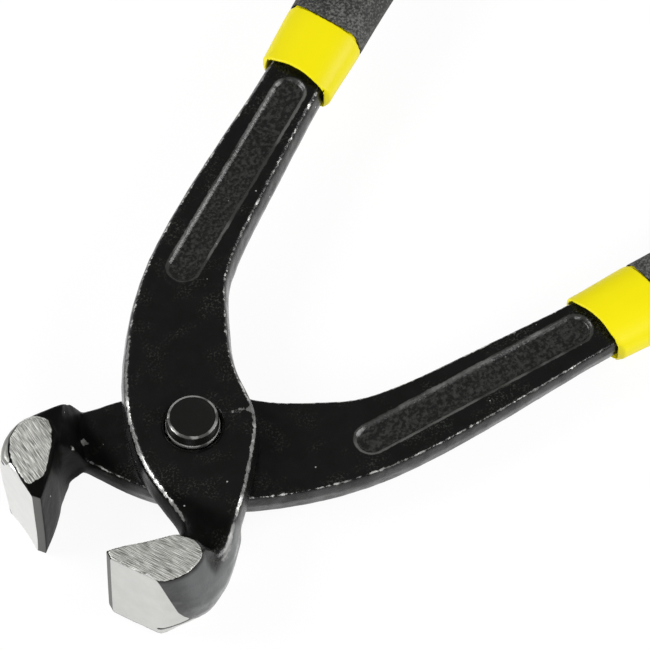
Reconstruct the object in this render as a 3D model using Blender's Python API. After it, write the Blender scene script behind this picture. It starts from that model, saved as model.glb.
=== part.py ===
# Rebar tying pliers: two forged levers crossed on one rivet, each with a two-layer grip.
# Metres, +Z up. The pivot axis is the Z axis, the jaws point to -X and the handles to +X.
# The origin is the middle of the rivet's lower end.
# Both levers are one forging: the lower one is the upper one turned over about the X axis.
# A lever is drawn with the jaws closed, its jaw below the X axis and its handle above it.

import math

import bmesh
import bpy
from mathutils import Matrix, Vector

# Opening between the two levers, from jaws closed
REST_OPENING = math.radians(28.1)

# Jaws
JAW_WIDTH = 0.0210
CUT_REACH = 0.0340
CUT_GAP = 0.0003
LAND_DEPTH = 0.0012
NOSE_REACH = CUT_REACH + LAND_DEPTH
LAND_HEIGHT = 0.0017
JAW_SLOPE = math.radians(45.5)
HEAD_HALF_WIDTH = 0.0193
CORNER_DEPTH = 0.0111
CORNER_LENGTH = 0.0089
CORNER_SETBACK = 0.0080
CORNER_REACH = NOSE_REACH - CORNER_SETBACK
RIM_ROUND = 0.0027
HOLLOW_DEPTH = 0.0098
HOLLOW_RADIUS = 0.0032
HOLLOW_END = math.radians(333)
HOLLOW_LEAN = math.radians(76)
GROUND_FACE_LENGTH = 0.0110
GROUND_FACE_END = NOSE_REACH - GROUND_FACE_LENGTH
GROUND_END_ROUND = 0.0012
SHOULDER_REACH = 0.0140
SHOULDER_LEAN = 0.0046
HEEL_INSET = 0.0011

# Jaw levels away from the joint plane: shares of plate thickness, rim round and shoulder lean
OUTER_LEVELS = (
    (0.55, 0.14, 0.0),
    (0.98, 0.42, 1.75),
    (1.34, 0.74, 2.0),
)
INNER_LEVELS = (
    (0.55, 0.14, 0.40),
    (1.05, 0.46, 0.82),
    (1.34, 0.74, 1.05),
)

# Joint plates
PLATE_THICKNESS = 0.0065
LAP_GAP = 0.0003
PARTING_SHARE = 0.4
DRAFT = 0.0002
FACE_INSET = 0.0003
INNER_EDGE_ROUND = 0.0004
EDGE_ROUND = 0.0008

# Rivet
RIVET_DIAMETER = 0.0100
RIVET_FLARE = 0.0005
RIVET_FLARE_DEPTH = 0.0012
RIVET_CHAMFER = 0.0007
RIVET_PROUD = 0.0027
RIVET_CLEARANCE = 0.0003

# Shanks and tangs
SHANK_THICKNESS = 0.0056
SHANK_WIDTH = 0.0124
TAPER_START = 0.0250
HANDLE_OFFSET = 0.0208
HANDLE_LEAN = math.radians(2.1)
TANG_WIDTH = 0.0090
TANG_THICKNESS = 0.0046

# Sunk panel on each face of a shank
PANEL_START = 0.0254
PANEL_LENGTH = 0.0535
PANEL_WIDTH = 0.0066
PANEL_DEPTH = 0.0007
PANEL_OFFSET = 0.0183
PANEL_LEAN = math.radians(1.95)

# Grips
OVERALL_LENGTH = 0.2500
GRIP_CORNER_SHARE = 0.85
GRIP_SLANT = math.radians(8)
PALM_SHARE = 0.45
COLLAR_REACH = 0.0802
COLLAR_LENGTH = 0.0136
COLLAR_WIDTH = 0.0160
COLLAR_THICKNESS = 0.0096
SEAM_WIDTH = 0.0168
SEAM_THICKNESS = 0.0104
PALM_WIDTH = 0.0194
PALM_THICKNESS = 0.0120
BUTT_WIDTH = 0.0178
BUTT_THICKNESS = 0.0112
GRIP_CLEARANCE = 0.0003
SLEEVE_WALL = 0.0007
LIP_ROUND = 0.0010
BUTT_ROUND = 0.0045
BUTT_WALL = 0.0025
TANG_END_SPACE = 0.0020

# Edge stations of the forging in plan: x, y and heading of the edge in degrees
BACK_AT_SHANK = (0.0410, 0.0268, 182.6)
BACK_AT_SHOULDER = (0.0125, 0.0214, 201.7)
BACK_AT_BOSS = (-0.0097, 0.0076, 225.7)
BACK_AT_NECK = (-0.0166, -0.0024, 243.0)
NECK_AT_HOLLOW = (-0.0203, -0.0086, 230.0)
NECK_END = (-0.0262, -0.0112, 190.0)
CHEEK_END = (-0.0262, -0.0184, 0.0)
CHEEK_AT_JAW = (-0.0160, -0.0181, 12.0)
CHEEK_AT_PIVOT = (0.0021, -0.0127, 20.0)
CHEEK_CORNER = (0.0096, -0.0081, 44.7)
CROTCH_LOW = (0.0152, -0.0014, 45.7)
CROTCH_HIGH = (0.0260, 0.0064, 31.7)
CROTCH_END = (0.0346, 0.0103, 12.7)
FRONT_AT_SHANK = (0.0537, 0.0126, 4.4)

# Fineness of the curves
EDGE_STEPS = 5
ARC_STEPS = 8
ROUND_STEPS = 5
SIDE_STEPS = 4
TURN_STEPS = 48
EASE = 0.36
SHARP_ANGLE = math.radians(35)

HALF_JAW = JAW_WIDTH / 2
JOINT_HEIGHT = PLATE_THICKNESS + RIVET_PROUD
GRIP_LENGTH = OVERALL_LENGTH - NOSE_REACH - COLLAR_REACH
TANG_LENGTH = GRIP_LENGTH - BUTT_WALL - TANG_END_SPACE


def heading(angle):
    """Unit direction in plan for an angle in radians."""
    return Vector((math.cos(angle), math.sin(angle)))


def smooth_edge(stations, steps=EDGE_STEPS):
    """Points of a smooth edge through stations of x, y and heading in degrees."""
    points = []
    for start, end in zip(stations, stations[1:]):
        first = Vector(start[:2])
        last = Vector(end[:2])
        reach = EASE * (last - first).length
        leave = first + reach * heading(math.radians(start[2]))
        arrive = last - reach * heading(math.radians(end[2]))
        for step in range(steps):
            t = step / steps
            s = 1 - t
            points.append(s**3 * first + 3 * s * s * t * leave + 3 * s * t * t * arrive + t**3 * last)
    points.append(Vector(stations[-1][:2]))
    return points


def arc(centre, radius, start, end, steps=ARC_STEPS):
    """Points on an arc, angles in radians."""
    return [centre + radius * heading(start + (end - start) * i / steps) for i in range(steps + 1)]


def grown(points, amount):
    """A counter-clockwise outline moved outwards by an amount."""
    result = []
    for i, point in enumerate(points):
        before = (point - points[i - 1]).normalized()
        after = (points[(i + 1) % len(points)] - point).normalized()
        middle = (before + after).normalized()
        spread = middle.dot(after)
        result.append(point + amount / spread * Vector((middle.y, -middle.x)))
    return result


def loft(name, loops):
    """Closed mesh through loops of 3-D points, each loop counter-clockwise about the way they run."""
    bm = bmesh.new()
    rings = [[bm.verts.new(point) for point in loop] for loop in loops]
    for low, high in zip(rings, rings[1:]):
        for i in range(len(low)):
            j = (i + 1) % len(low)
            bm.faces.new((low[i], low[j], high[j], high[i]))
    bm.faces.new(rings[0][::-1])
    bm.faces.new(rings[-1])
    return finished(name, bm)


def turned(name, profile):
    """Closed body turned about the Z axis from a profile of radius and height, bottom to top."""
    loops = []
    for radius, height in profile:
        angles = [2 * math.pi * i / TURN_STEPS for i in range(TURN_STEPS)]
        loops.append([(radius * math.cos(a), radius * math.sin(a), height) for a in angles])
    return loft(name, loops)


def finished(name, bm):
    """Mesh made from a bmesh, smooth apart from its edges."""
    bmesh.ops.recalc_face_normals(bm, faces=bm.faces)
    mesh = bpy.data.meshes.new(name)
    bm.to_mesh(mesh)
    bm.free()
    mesh.shade_smooth()
    mesh.set_sharp_from_angle(angle=SHARP_ANGLE)
    return mesh


def placed(name, mesh, parent=None, material=None):
    """Object with a mesh, on a parent and with its own material."""
    obj = bpy.data.objects.new(name, mesh)
    bpy.context.collection.objects.link(obj)
    obj.parent = parent
    if material:
        mesh.materials.clear()
        mesh.materials.append(material)
    return obj


def combined(name, base, others):
    """One mesh from a base mesh and (operation, mesh) pairs."""
    body = placed(name, base)
    tools = []
    for operation, mesh in others:
        tool = placed(mesh.name, mesh)
        tool.hide_render = True
        tool.display_type = "WIRE"
        change = body.modifiers.new(operation.lower(), "BOOLEAN")
        change.operation = operation
        change.object = tool
        tools.append(tool)
    graph = bpy.context.evaluated_depsgraph_get()
    mesh = bpy.data.meshes.new_from_object(body.evaluated_get(graph))
    for obj in [body] + tools:
        bpy.data.objects.remove(obj)
    return mesh


def handle_point(along, across=0.0):
    """Point in plan on or beside the handle's centre line, measured from the collar's front."""
    direction = heading(HANDLE_LEAN)
    side = Vector((-direction.y, direction.x))
    return Vector((COLLAR_REACH, HANDLE_OFFSET)) + along * direction + across * side


def tang_thickness(along):
    """Lever thickness at a distance behind the collar's front."""
    return SHANK_THICKNESS + (TANG_THICKNESS - SHANK_THICKNESS) * along / TANG_LENGTH


def lever_thickness(x):
    """Thickness of the forging at a distance from the pivot axis, flat at the joint."""
    if x > COLLAR_REACH:
        return tang_thickness(x - COLLAR_REACH)
    share = max(0.0, (x - TAPER_START) / (COLLAR_REACH - TAPER_START))
    return PLATE_THICKNESS + (SHANK_THICKNESS - PLATE_THICKNESS) * share


def plate_outline():
    """Edge of the flat faces of a lever: tang, shank, joint plate and neck, counter-clockwise."""
    lean = math.degrees(HANDLE_LEAN)
    taper = math.degrees(math.atan((SHANK_WIDTH - TANG_WIDTH) / 2 / TANG_LENGTH))
    back_end = handle_point(TANG_LENGTH, TANG_WIDTH / 2)
    back_collar = handle_point(0.0, SHANK_WIDTH / 2)
    front_collar = handle_point(0.0, -SHANK_WIDTH / 2)
    front_end = handle_point(TANG_LENGTH, -TANG_WIDTH / 2)
    back = smooth_edge([
        (*back_end, 180 + lean - taper),
        (*back_collar, 180 + lean - taper),
        BACK_AT_SHANK,
        BACK_AT_SHOULDER,
        BACK_AT_BOSS,
        BACK_AT_NECK,
        NECK_AT_HOLLOW,
        NECK_END,
    ])
    front = smooth_edge([
        CHEEK_END,
        CHEEK_AT_JAW,
        CHEEK_AT_PIVOT,
        CHEEK_CORNER,
        CROTCH_LOW,
        CROTCH_HIGH,
        CROTCH_END,
        FRONT_AT_SHANK,
        (*front_collar, lean + taper),
        (*front_end, lean + taper),
    ])
    return back + front


def plate_mesh():
    """Joint plate, shank and tang: widest at the parting line, rounded at the edges of both faces."""
    outline = plate_outline()
    low = LAP_GAP / 2
    loops = []
    for growth, share, lift in (
        (-INNER_EDGE_ROUND, 0.0, 0.0),
        (0.0, 0.0, INNER_EDGE_ROUND),
        (DRAFT, PARTING_SHARE, 0.0),
        (-FACE_INSET, 1.0, -EDGE_ROUND),
        (-FACE_INSET - EDGE_ROUND, 1.0, 0.0),
    ):
        loop = []
        for p in grown(outline, growth):
            loop.append((p.x, p.y, low + share * (lever_thickness(p.x) - low) + lift))
        loops.append(loop)
    return loft("plate", loops)


def head_loop(height, inset, lean):
    """Level of the jaw and neck with its back at the sloping shoulder."""
    slope = heading(-JAW_SLOPE)
    inward = Vector((-slope.y, slope.x))
    edge = Vector((-CUT_REACH, -CUT_GAP / 2))
    run = (HOLLOW_DEPTH - CUT_GAP / 2 - HOLLOW_RADIUS * (1 - inward.y)) / math.sin(JAW_SLOPE)
    centre = edge + run * slope + HOLLOW_RADIUS * inward
    arc_start = 3 * math.pi / 2 - JAW_SLOPE
    hollow = arc(centre, HOLLOW_RADIUS, arc_start, HOLLOW_END - HOLLOW_LEAN * min(lean, 1.0))
    outer_y = -HEAD_HALF_WIDTH + inset
    heel = Vector((-SHOULDER_REACH - SHOULDER_LEAN * lean, outer_y + HEEL_INSET))
    corner_start = Vector((-CORNER_REACH, outer_y))
    shoulder = [hollow[-1].lerp(heel, i / SIDE_STEPS) for i in range(1, SIDE_STEPS)]
    back = [heel.lerp(corner_start, i / SIDE_STEPS) for i in range(SIDE_STEPS)]
    return closed_head(height, inset, [edge.lerp(hollow[0], 0.5)] + hollow + shoulder + back)


def ground_loop(height, inset, end_reach):
    """Level of the raised ground side face, with its round back end."""
    slope = heading(-JAW_SLOPE)
    edge = Vector((-CUT_REACH, -CUT_GAP / 2))
    inner_end = edge + slope * (CUT_REACH - end_reach - GROUND_END_ROUND) / slope.x
    outer_y = -HEAD_HALF_WIDTH + inset
    middle_y = (inner_end.y + outer_y) / 2
    round_end = smooth_edge([
        (*inner_end, -math.degrees(JAW_SLOPE)),
        (-end_reach, middle_y, -90.0),
        (-CORNER_REACH, outer_y, 180.0),
    ], steps=ARC_STEPS)
    return closed_head(height, inset, [edge.lerp(inner_end, 0.5)] + round_end[:-1])


def closed_head(height, inset, inner_and_back):
    """A head level closed round the corner and past the nose, where the bevels cut it."""
    slope = heading(-JAW_SLOPE)
    spare = NOSE_REACH - CUT_REACH + LAND_HEIGHT
    edge = Vector((-CUT_REACH, -CUT_GAP / 2))
    corner = Vector((-CORNER_REACH, CORNER_DEPTH - HEAD_HALF_WIDTH))
    size = Vector((CORNER_LENGTH, CORNER_DEPTH - inset))
    quarter = [math.pi / 2 * (3 - i / ARC_STEPS) for i in range(ARC_STEPS + 1)]
    round_corner = [corner + heading(angle) * size for angle in quarter]
    tip = edge - spare * slope
    nose = Vector((round_corner[-1].x, tip.y))
    points = [tip] + inner_and_back + round_corner + [nose]
    return [(p.x, p.y, height) for p in reversed(points)]


def head_side(levels):
    """Levels of the jaw from the joint plane to one ground side face."""
    loops = []
    for height, inset, lean in levels:
        loops.append(head_loop(height * PLATE_THICKNESS, inset * RIM_ROUND, lean))
    pad_foot = (height * PLATE_THICKNESS + HALF_JAW) / 2
    pad_inset = (inset + 1) / 2 * RIM_ROUND
    loops.append(ground_loop(pad_foot, pad_inset, GROUND_FACE_END - GROUND_END_ROUND))
    loops.append(ground_loop(HALF_JAW, RIM_ROUND, GROUND_FACE_END))
    return loops


def head_mesh():
    """Jaw and neck: a barrel-backed claw across both plates, its nose and cutting land ground flat."""
    outer = head_side(OUTER_LEVELS)
    inner = [[(x, y, -z) for x, y, z in loop] for loop in reversed(head_side(INNER_LEVELS))]
    mesh = loft("head", inner + [head_loop(0.0, 0.0, 0.0)] + outer)
    bm = bmesh.new()
    bm.from_mesh(mesh)
    land = Vector((NOSE_REACH - CUT_REACH, LAND_HEIGHT)).normalized()
    cuts = [
        (Vector((-NOSE_REACH, 0, 0)), Vector((-1, 0, 0))),
        (Vector((-CUT_REACH, -CUT_GAP / 2, 0)), Vector((-land.y, land.x, 0))),
    ]
    for point, outwards in cuts:
        everything = bm.verts[:] + bm.edges[:] + bm.faces[:]
        cut = bmesh.ops.bisect_plane(bm, geom=everything, plane_co=point, plane_no=outwards, clear_outer=True)
        rim = [part for part in cut["geom_cut"] if isinstance(part, bmesh.types.BMEdge)]
        bmesh.ops.edgeloop_fill(bm, edges=rim)
    bpy.data.meshes.remove(mesh)
    return finished("head", bm)


def panel_mesh(name, outer_face):
    """Cutter for the long sunk panel in one face of a shank, following that face."""
    radius = PANEL_WIDTH / 2
    turn = Matrix.Rotation(PANEL_LEAN, 2)
    first = Vector((radius, 0))
    second = Vector((PANEL_LENGTH - radius, 0))
    quarter = math.pi / 2
    outline = arc(second, radius, -quarter, quarter) + arc(first, radius, quarter, 3 * quarter)
    loops = []
    for growth, lift in ((-PANEL_DEPTH, -PANEL_DEPTH), (0.0, 0.0), (PANEL_DEPTH, PANEL_DEPTH)):
        loop = []
        for p in grown(outline, growth):
            q = turn @ p + Vector((PANEL_START, PANEL_OFFSET))
            loop.append((q.x, q.y, lever_thickness(q.x) + lift if outer_face else LAP_GAP / 2 - lift))
        loops.append(loop)
    return loft(name, loops)


def rivet_mesh():
    """Rivet: peened into both countersinks, its chamfered ends standing proud."""
    radius = RIVET_DIAMETER / 2
    end = radius - RIVET_CHAMFER
    flare = radius + RIVET_FLARE
    upper = [
        (radius, PLATE_THICKNESS - RIVET_FLARE_DEPTH),
        (flare, PLATE_THICKNESS),
        (radius, PLATE_THICKNESS + RIVET_FLARE),
        (radius, JOINT_HEIGHT - RIVET_CHAMFER),
        (end, JOINT_HEIGHT),
    ]
    lower = [(width, -height) for width, height in reversed(upper)]
    return turned("rivet", [(width, JOINT_HEIGHT + height) for width, height in lower + upper])


def bore_mesh():
    """Countersunk hole for the rivet through one lever."""
    radius = RIVET_DIAMETER / 2 + RIVET_CLEARANCE
    mouth = radius + RIVET_FLARE
    return turned("bore", [
        (radius, -PLATE_THICKNESS),
        (radius, PLATE_THICKNESS - RIVET_FLARE_DEPTH),
        (mouth, PLATE_THICKNESS),
        (mouth + RIVET_FLARE, PLATE_THICKNESS + RIVET_FLARE_DEPTH),
    ])


def lever_mesh():
    """The whole forging, bored for the rivet and with a sunk panel in each face of its shank."""
    return combined("lever", plate_mesh(), [
        ("UNION", head_mesh()),
        ("DIFFERENCE", bore_mesh()),
        ("DIFFERENCE", panel_mesh("outer_panel", True)),
        ("DIFFERENCE", panel_mesh("inner_panel", False)),
    ])


def section(along, half_width, half_thickness, corner, middle):
    """Rounded rectangle across the handle, at a height, slanted forwards on the inner side in front."""
    corner = min(corner, half_width, half_thickness)
    points = []
    for quarter in range(4):
        turn = heading(math.pi * (quarter / 2 + 0.25))
        centre = Vector((
            math.copysign(half_width - corner, turn.x),
            math.copysign(half_thickness - corner, turn.y),
        ))
        points += arc(centre, corner, math.pi * quarter / 2, math.pi * (quarter + 1) / 2, ROUND_STEPS)
    slant = math.tan(GRIP_SLANT) * (1 - along / GRIP_LENGTH)
    loop = []
    for across, lift in points:
        p = handle_point(along - slant * across, -across)
        loop.append((p.x, p.y, middle + lift))
    return loop


def tang_cavity(along, extra=0.0):
    """Section of the hollow for the tang, grown by a wall where one is asked for."""
    share = max(0.0, along) / TANG_LENGTH
    thickness = tang_thickness(max(0.0, along))
    half_width = (SHANK_WIDTH + (TANG_WIDTH - SHANK_WIDTH) * share) / 2 + DRAFT
    clear = GRIP_CLEARANCE + extra
    corner = EDGE_ROUND + extra
    middle = (thickness + LAP_GAP / 2) / 2
    return section(along, half_width + clear, thickness / 2 + clear, corner, middle)


def grip_section(along, inset=0.0):
    """Outer section of a grip: a flat oval that swells in the palm."""
    stations = [
        (0.0, COLLAR_WIDTH, COLLAR_THICKNESS),
        (COLLAR_LENGTH, SEAM_WIDTH, SEAM_THICKNESS),
        (PALM_SHARE * GRIP_LENGTH, PALM_WIDTH, PALM_THICKNESS),
        (GRIP_LENGTH, BUTT_WIDTH, BUTT_THICKNESS),
    ]
    for first, last in zip(stations, stations[1:]):
        if along <= last[0]:
            break
    t = (along - first[0]) / (last[0] - first[0])
    blend = t * t * (3 - 2 * t)
    half_width = (first[1] + (last[1] - first[1]) * blend) / 2
    half_thickness = (first[2] + (last[2] - first[2]) * blend) / 2
    corner = GRIP_CORNER_SHARE * half_thickness
    return section(along, half_width - inset, half_thickness - inset, corner, SHANK_THICKNESS / 2)


def sleeve_mesh():
    """Inner sleeve pushed on to the tang: a full-size collar in front, a thin tube behind it."""
    end = TANG_LENGTH + TANG_END_SPACE / 2
    outer_end = end + BUTT_WALL / 2
    loops = [tang_cavity(along) for along in (end, COLLAR_LENGTH, 0.0)]
    loops += [grip_section(0.0, LIP_ROUND), grip_section(LIP_ROUND), grip_section(COLLAR_LENGTH / 2)]
    loops += [grip_section(COLLAR_LENGTH)]
    loops += [tang_cavity(COLLAR_LENGTH, SLEEVE_WALL), tang_cavity(outer_end, SLEEVE_WALL)]
    return loft("sleeve", loops)


def cover_mesh():
    """Outer cover: a cup over the sleeve, flush with its collar and closed at the butt."""
    start = COLLAR_LENGTH + GRIP_CLEARANCE
    room = SLEEVE_WALL + GRIP_CLEARANCE
    end = TANG_LENGTH + TANG_END_SPACE / 2 + BUTT_WALL / 2 + GRIP_CLEARANCE
    loops = [tang_cavity(end, room), tang_cavity(start, room)]
    straight = GRIP_LENGTH - BUTT_ROUND
    loops += [grip_section(start + (straight - start) * i / ARC_STEPS) for i in range(ARC_STEPS + 1)]
    for step in range(1, ROUND_STEPS):
        angle = math.pi / 2 * step / ROUND_STEPS
        loops.append(grip_section(straight + BUTT_ROUND * math.sin(angle), BUTT_ROUND * (1 - math.cos(angle))))
    return loft("cover", loops)


def surface(name, colour, roughness, metallic):
    """Material of one piece."""
    material = bpy.data.materials.new(name)
    material.use_nodes = True
    shader = material.node_tree.nodes["Principled BSDF"]
    shader.inputs["Base Color"].default_value = (*colour, 1.0)
    shader.inputs["Roughness"].default_value = roughness
    shader.inputs["Metallic"].default_value = metallic
    return material


def lever_half(name, turn):
    """Empty on the pivot axis, at the joint plane, that carries one lever and its grip."""
    half = bpy.data.objects.new(name, None)
    bpy.context.collection.objects.link(half)
    half.location = (0, 0, JOINT_HEIGHT)
    half.rotation_euler = turn
    return half


for old in list(bpy.data.objects):
    bpy.data.objects.remove(old)

lever = lever_mesh()
sleeve = sleeve_mesh()
cover = cover_mesh()
halves = {
    "upper": lever_half("upper_half", (0, 0, REST_OPENING / 2)),
    "lower": lever_half("lower_half", (math.pi, 0, -REST_OPENING / 2)),
}
for side, half in halves.items():
    lacquer = surface(side + "_black_lacquer", (0.012, 0.012, 0.011), 0.35, 0.0)
    placed(side + "_lever", lever.copy(), half, lacquer)
    plastic = surface(side + "_yellow_plastic", (0.87, 0.78, 0.0), 0.4, 0.0)
    placed(side + "_grip_sleeve", sleeve.copy(), half, plastic)
    rubber = surface(side + "_black_rubber", (0.03, 0.03, 0.03), 0.8, 0.0)
    placed(side + "_grip_cover", cover.copy(), half, rubber)
rivet_lacquer = surface("rivet_black_lacquer", (0.012, 0.012, 0.011), 0.35, 0.0)
placed("pivot_rivet", rivet_mesh(), None, rivet_lacquer)
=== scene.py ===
import math

import bpy
import numpy as np
from mathutils import Matrix, Vector


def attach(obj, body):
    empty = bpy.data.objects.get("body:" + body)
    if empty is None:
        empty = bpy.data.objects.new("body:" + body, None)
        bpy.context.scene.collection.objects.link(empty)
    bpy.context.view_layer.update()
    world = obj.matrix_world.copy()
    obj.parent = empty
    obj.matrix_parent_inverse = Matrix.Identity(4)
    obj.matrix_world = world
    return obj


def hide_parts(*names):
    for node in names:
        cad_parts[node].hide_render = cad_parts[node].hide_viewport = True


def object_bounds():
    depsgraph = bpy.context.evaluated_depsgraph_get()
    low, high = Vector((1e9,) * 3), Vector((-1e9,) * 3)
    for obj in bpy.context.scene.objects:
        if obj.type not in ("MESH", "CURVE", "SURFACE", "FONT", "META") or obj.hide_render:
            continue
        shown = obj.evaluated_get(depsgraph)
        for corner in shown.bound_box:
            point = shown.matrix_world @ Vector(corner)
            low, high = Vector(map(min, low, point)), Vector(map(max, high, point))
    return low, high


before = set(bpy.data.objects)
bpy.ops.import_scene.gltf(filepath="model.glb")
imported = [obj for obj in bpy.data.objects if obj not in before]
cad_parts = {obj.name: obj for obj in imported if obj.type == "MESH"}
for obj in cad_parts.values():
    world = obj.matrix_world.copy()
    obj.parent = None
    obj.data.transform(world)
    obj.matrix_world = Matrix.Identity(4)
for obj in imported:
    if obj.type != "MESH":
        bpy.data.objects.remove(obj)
cad_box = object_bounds()

# Levers
# Two like drop forgings of tool steel, lapped on the rivet, one turned over on the other.
# They are dipped in black lacquer, then the jaws' sides, noses and cutting lands are ground bare.

UPPER = 1
LOWER = -1
JOINT_HEIGHT = 0.0092
HALF_OPENING = math.radians(14.05)
HALF_JAW = 0.0105
CUT_REACH = 0.0340
NOSE_REACH = 0.0352
LAND_HEIGHT = 0.0017
COLLAR_FRONT = (0.0802, 0.0208)
HANDLE_LEAN = math.radians(2.1)
TANG_CUT = 0.004
OUTER_RIM = 0.0003
INNER_RIM = 0.0010
FORGING_GRAIN = 0.00031
MERGE_DISTANCE = 0.000001
FLAT_ANGLE = math.radians(0.5)
FACE_TOLERANCE = 0.0001
FACE_LEVEL = 0.999
RIM_SEGMENTS = 3
LEAST_WEIGHT = 0.01

# Sunk panels, as places on a lever that lies with the jaws closed: x along the tool, y across, z through
PANEL_START = 0.0254
PANEL_LENGTH = 0.0535
PANEL_RADIUS = 0.0033
PANEL_OFFSET = 0.0183
PANEL_LEAN = math.radians(1.95)
PANEL_DEPTH = 0.0007
PANEL_RIM = 0.0001
PANEL_RIM_HIGHLIGHT_WIDTH = 0.0010
PANEL_TRIM = {UPPER: (0.0016, -0.0009), LOWER: (0.0000, 0.0003)}
FACES_UP = 0.3

# Ground faces, each band from where the bare steel begins to where it is full
PAD_FACE = (HALF_JAW - 0.00016, HALF_JAW - 0.00004)
PAD_TIP = (0.0036, 0.0046)
PAD_HEEL_FACE = (0.0094, 0.0098)
PAD_HEEL = (0.0105, 0.0125)
PAD_NOTCH_OFFSETS = (-0.0128, -0.0112)
PAD_NOTCH_PLACES = (-0.0248, -0.0242)
NOSE_FACE = (NOSE_REACH - 0.00022, NOSE_REACH - 0.00008)
NOSE_FOOT = (-0.0097, -0.0093)
NOSE_HEIGHTS = {
    UPPER: (-0.0105, -0.0070, -0.0042, -0.0025, -0.0005, 0.0040, 0.0093, 0.0105),
    LOWER: (-0.0105, -0.0085, -0.0050, 0.0000, 0.0050, 0.0105),
}
NOSE_BOUNDS = {
    UPPER: (0.0240, 0.0276, 0.0314, 0.0328, 0.0339, 0.0350, 0.0361, 0.0364),
    LOWER: (0.0275, 0.0305, 0.0324, 0.0333, 0.0353, 0.0366),
}
CORNER_LEAN = 0.35
CORNER_OFFSET = 0.0150
CORNER_START = (0.0085, 0.0095)
CORNER_EDGE = (-0.0002, 0.0002)
BURR_LINE = {UPPER: (0.0070, 0.68, 0.0128), LOWER: (0.0086, 0.0, 0.0)}
BURR_WIDTH = (-0.00050, -0.00020)
BURR_START = (0.0105, 0.0115)
LAND_FACE = (-0.00022, -0.00008)
LEAST_GROUND = 0.05

# The lower jaw's side pad, ground smaller by hand, with a grey cheek and a thin black line before the nose
SMALL_PAD_OUTER_OFFSETS = (-0.0169, -0.0148, -0.0125, -0.0100, -0.0049)
SMALL_PAD_OUTER_BOUNDS = (-0.0279, -0.0315, -0.0332, -0.0342, -0.0345)
SMALL_PAD_INNER_OFFSETS = (-0.0161, -0.0146, -0.0117, -0.0091, -0.0082, -0.0058, -0.0034)
SMALL_PAD_INNER_BOUNDS = (-0.0245, -0.0233, -0.0241, -0.0246, -0.0268, -0.0292, -0.0323)
SMALL_PAD_EDGE = (-0.0001, 0.0001)
CHEEK_FACE = (0.0090, 0.0094)
CHEEK_EDGE = (0.0003, 0.0005)
CHEEK_START = (0.0095, 0.0110)
LINE_OFFSETS = (-0.0100, -0.0030)
LINE_WIDTHS = (0.0001, 0.0005)
LINE_EDGE = (0.0, 0.0002)
LINE_START = (-0.0110, -0.0095)
LINE_FACE = (0.0088, 0.0092)

# Smoothing of the forged skin, with a middle, a share of its height and a reach for each rounder place
HEAD_START = (0.012, 0.015)
SHANK_START = (0.010, 0.020)
SHANK_END = (-0.079, -0.072)
PANEL_CLEAR = (0.0040, 0.0050)
LEAST_SOFT = 0.3
SHANK_SOFT = 0.9
SKIN_PASSES = 18
ROUNDED_PASSES = 40
MASK_PASSES = 3
SKIN_ROUGHNESS = 0.00016
EDGE_ROUGHNESS = 0.00025
ROUNDED = (
    ((-0.0230, -0.0165, 0.0075), 1.0, (-0.0045, -0.0020)),
    ((-0.0130, -0.0180, 0.0020), 1.0, (-0.0060, -0.0030)),
    ((-0.0205, -0.0105, 0.0040), 0.4, (-0.0060, -0.0030)),
)

# Where the two jaws differ from the drop forging: the middle of each press, its reach and its way
PRESSED = {
    UPPER: (
        ((-0.0225, -0.0200, -0.002), (0.011, 0.008, 0.016), (0.0, -0.0014, 0.0)),
        ((-0.0320, -0.0020, 0.0), (0.006, 0.006, 0.030), (0.0002, 0.0004, 0.0)),
        ((-0.0310, -0.0150, -0.0105), (0.006, 0.008, 0.006), (0.0006, 0.0008, 0.0012)),
    ),
    LOWER: (
        ((-0.0225, -0.0200, -0.002), (0.011, 0.008, 0.016), (0.0, -0.0010, 0.0)),
        ((-0.0285, -0.0055, 0.005), (0.013, 0.011, 0.022), (0.0011, 0.0006, 0.0)),
        ((-0.0345, -0.0120, 0.0085), (0.012, 0.014, 0.016), (0.0006, 0.0002, 0.0)),
        ((-0.0225, -0.0100, 0.0050), (0.006, 0.006, 0.018), (0.0012, 0.0008, 0.0)),
        ((-0.0340, -0.0010, -0.0075), (0.005, 0.006, 0.007), (0.0, 0.0, -0.0013)),
    ),
}

# Edges worn bright and painted with glints, the plate's rim above the jaw worn and painted with a highlight
# line, and the jaw's barrel with painted sheen on the upper lever and painted shade on the lower
BARREL_START = (0.013, 0.016)
BARREL_SIDE = (0.006, 0.012)
BARREL_TOP = (-0.0101, -0.0092)
BARREL_FADE = (0.0, 0.0060)
BARREL_LEAST = 0.25
EDGE_STEEP = (0.48, 0.66)
EDGE_FLAT = (-0.960, -0.89)
EDGE_START = (-0.024, -0.020)
EDGE_AT_RIVET = 0.35
EDGE_OFF_RIVET = (0.0062, 0.0075)
EDGE_OFF_PANEL = (0.0036, 0.0042)
EDGE_BEFORE_PANEL = 0.001
EDGE_ON_SHANK = (0.004, 0.016)
EDGE_LOST = {UPPER: 0.38, LOWER: 0.0}
RIM_PLACES = (-0.026, -0.020, -0.016, -0.010, -0.006)
RIM_OFFSETS = (-0.0184, -0.0180, -0.0173, -0.0158, -0.0146)
RIM_WIDTH = 0.0009
RIM_FADE = (-0.0262, -0.0205)
PLATE_FACE = (0.0030, 0.0040)
PLATE_EDGE = (-0.0003, 0.0002)
PLATE_TIP = (-0.0272, -0.0254)
MATT_FACING = (-0.35, -0.05)
# Bright chips, partly chipped lacquer and partly painted glints, each with its middle and its reach
GLINT_CHIP_SPREAD = 1.5
GLINT_CHIPS = {
    UPPER: (
        ((0.0060, -0.0056, 0.0065), 0.0005),
        ((0.0068, -0.0061, 0.0065), 0.0006),
        ((0.0074, -0.0067, 0.0065), 0.0004),
        ((0.0078, -0.0077, 0.0065), 0.0006),
    ),
    LOWER: (
        ((-0.0219, -0.0092, -0.0045), 0.0008),
        ((-0.0211, -0.0093, -0.0043), 0.0006),
        ((-0.0175, -0.0114, 0.0000), 0.0009),
    ),
}


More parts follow.
